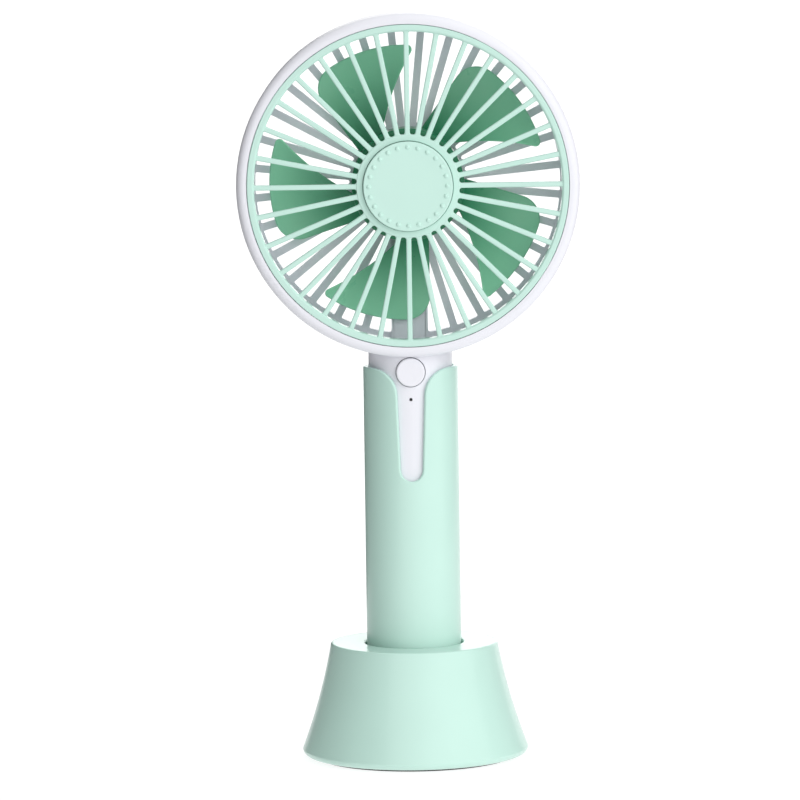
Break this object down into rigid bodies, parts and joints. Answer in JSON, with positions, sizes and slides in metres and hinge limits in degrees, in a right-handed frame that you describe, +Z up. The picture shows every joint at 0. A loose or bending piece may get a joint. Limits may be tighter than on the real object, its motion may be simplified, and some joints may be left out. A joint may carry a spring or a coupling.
{
  "type": "handheld electric fan",
  "caption": "Round-headed rechargeable hand fan standing in a flared desk stand, with a twist-off front grille and an aroma cup.",
  "frame": {"origin": "centre of the stand's foot ring, on the surface that the stand rests on", "axes": "+Z up, the fan faces and blows along -Y, +X to the right as seen from the front"},
  "size_m": [0.1, 0.0666, 0.2195],
  "materials": {
    "mint_gloss": "glossy moulded ABS, pale mint",
    "mint_cap": "glossy moulded ABS, pale mint",
    "white_plastic": "satin moulded ABS, cool white",
    "white_button": "glossy moulded ABS, cool white",
    "base_plastic": "matt moulded ABS, pale mint",
    "rotor_green": "semi-gloss moulded polypropylene, deep green",
    "foot_rubber": "matt soft rubber",
    "screw_steel": "zinc-plated steel",
    "shaft_steel": "ground steel",
    "can_steel": "drawn and plated steel",
    "nickel_tab": "nickel strip",
    "port_steel": "tin-plated steel shell",
    "cell_wrap": "heat-shrink film over a steel can",
    "board_laminate": "glass-epoxy laminate with green solder mask",
    "chip_epoxy": "moulded epoxy",
    "switch_plastic": "moulded nylon",
    "led_clear": "clear epoxy",
    "pipe_smoke": "dark smoked acrylic",
    "sponge_foam": "open-cell felt",
    "coil_copper": "enamelled copper wire",
    "commutator_copper": "turned copper",
    "core_steel": "stacked silicon steel",
    "bush_bronze": "sintered bronze",
    "magnet_ferrite": "moulded ferrite",
    "end_cap_plastic": "moulded nylon",
    "brush_spring": "phosphor-bronze leaf",
    "wire_red": "PVC insulation",
    "wire_black": "PVC insulation"
  },
  "bodies": {
    "stand": {"stand_shell": "mint_gloss", "stand_base_plate": "base_plastic", "stand_foot_ring": "foot_rubber", "stand_screws": "screw_steel"},
    "fan": {"handle_sleeve": "mint_gloss", "sleeve_screw": "screw_steel", "battery_cell": "cell_wrap", "battery_tabs": "nickel_tab", "battery_wire_black": "wire_black", "battery_wire_red": "wire_red", "circuit_board": "board_laminate", "board_components": "chip_epoxy", "board_screws": "screw_steel", "button_switch": "switch_plastic", "status_led": "led_clear", "led_light_pipe": "pipe_smoke", "charging_socket": "port_steel", "front_housing": "white_plastic", "rear_housing": "white_plastic", "wire_cover": "white_plastic", "motor_can": "can_steel", "motor_end_cap": "end_cap_plastic", "motor_bearings": "bush_bronze", "motor_magnets": "magnet_ferrite", "motor_brushes": "brush_spring", "motor_terminals": "nickel_tab", "motor_wire_red": "wire_red", "motor_wire_black": "wire_black"},
    "rotor": {"rotor": "rotor_green", "motor_shaft": "shaft_steel", "armature_core": "core_steel", "armature_windings": "coil_copper", "commutator": "commutator_copper"},
    "front_grille": {"front_grille": "mint_gloss", "aroma_sponge": "sponge_foam"},
    "aroma_cap": {"aroma_cap": "mint_cap"},
    "power_button": {"power_button": "white_button", "switch_plunger": "switch_plastic"}
  },
  "joints": [
    {"name": "fan_lift", "type": "slide", "parent": "stand", "child": "fan", "axis": [0, 0, 1], "range_m": [0, 0.03]},
    {"name": "rotor_spin", "type": "hinge", "parent": "fan", "child": "rotor", "pos_m": [0, 0, 0.1695], "axis": [0, -1, 0], "continuous": true},
    {"name": "front_grille_twist", "type": "hinge", "parent": "fan", "child": "front_grille", "pos_m": [0, 0, 0.1695], "axis": [0, -1, 0], "range_deg": [0, 12]},
    {"name": "aroma_cap_pull", "type": "slide", "parent": "front_grille", "child": "aroma_cap", "axis": [0, -1, 0], "range_m": [0, 0.01]},
    {"name": "power_button_press", "type": "slide", "parent": "fan", "child": "power_button", "axis": [0, 1, 0], "range_m": [0, 0.0005], "stiffness_N_per_m": 300}
  ]
}
